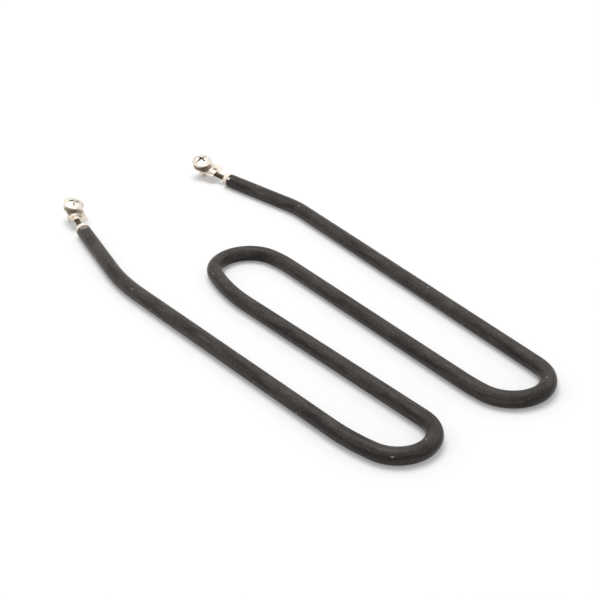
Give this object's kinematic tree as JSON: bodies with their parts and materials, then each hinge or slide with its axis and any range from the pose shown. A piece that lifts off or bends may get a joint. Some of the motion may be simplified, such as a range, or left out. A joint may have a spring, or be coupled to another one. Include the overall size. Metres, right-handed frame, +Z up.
{
  "type": "tubular heating element",
  "caption": "Flat serpentine heating element of round sheathed tube, with a ceramic bushing, a cold pin and a screw terminal on each cut end.",
  "frame": {"origin": "on the surface that the element lies on, below the middle of its outer box", "axes": "+X along the legs, from the terminals towards the far U-bends; +Y from the first leg towards the last; +Z up, out of the element's plane on the side of the screw heads"},
  "size_m": [0.3058, 0.1312, 0.0132],
  "materials": {
    "sheath": "dark oxidised, matte",
    "magnesia": "compacted powder",
    "coil": "drawn wire",
    "bushing": "unglazed",
    "pin": "dull drawn",
    "lug": "nickel-plated",
    "screw": "nickel-plated"
  },
  "bodies": {
    "root": {"sheath": "sheath", "magnesia_fill": "magnesia", "resistance_coil": "coil", "insulating_bushing_1": "bushing", "insulating_bushing_2": "bushing", "cold_pin_1": "pin", "cold_pin_2": "pin", "terminal_lug_1": "lug", "terminal_lug_2": "lug", "terminal_screw_1": "screw", "terminal_screw_2": "screw"}
  },
  "joints": []
}
